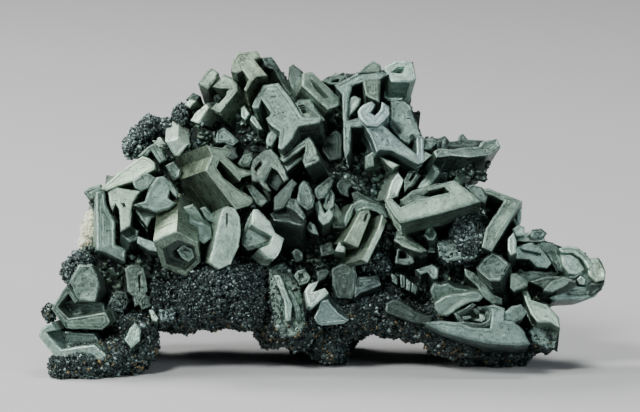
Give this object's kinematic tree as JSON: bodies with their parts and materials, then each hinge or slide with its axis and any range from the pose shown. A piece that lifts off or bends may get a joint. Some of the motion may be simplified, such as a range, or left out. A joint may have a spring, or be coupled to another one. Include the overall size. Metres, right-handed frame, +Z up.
{
  "type": "acanthite crystal specimen",
  "caption": "Free-standing cabinet specimen of hopper-grown acanthite crystals on a druse of fine crystals, resting on its own feet; a display mineral.",
  "frame": {"origin": "on the floor, under the middle of the specimen's bounding box", "axes": "+X to the specimen's right as seen from its display side, +Y away from the display side, +Z up"},
  "size_m": [0.1126, 0.0514, 0.063],
  "materials": {
    "acanthite": "satin grey metal with a faint green cast",
    "calcite": "matt cream-white mineral"
  },
  "bodies": {
    "root": {"acanthite_cluster": "acanthite", "calcite_patch": "calcite"}
  },
  "joints": []
}
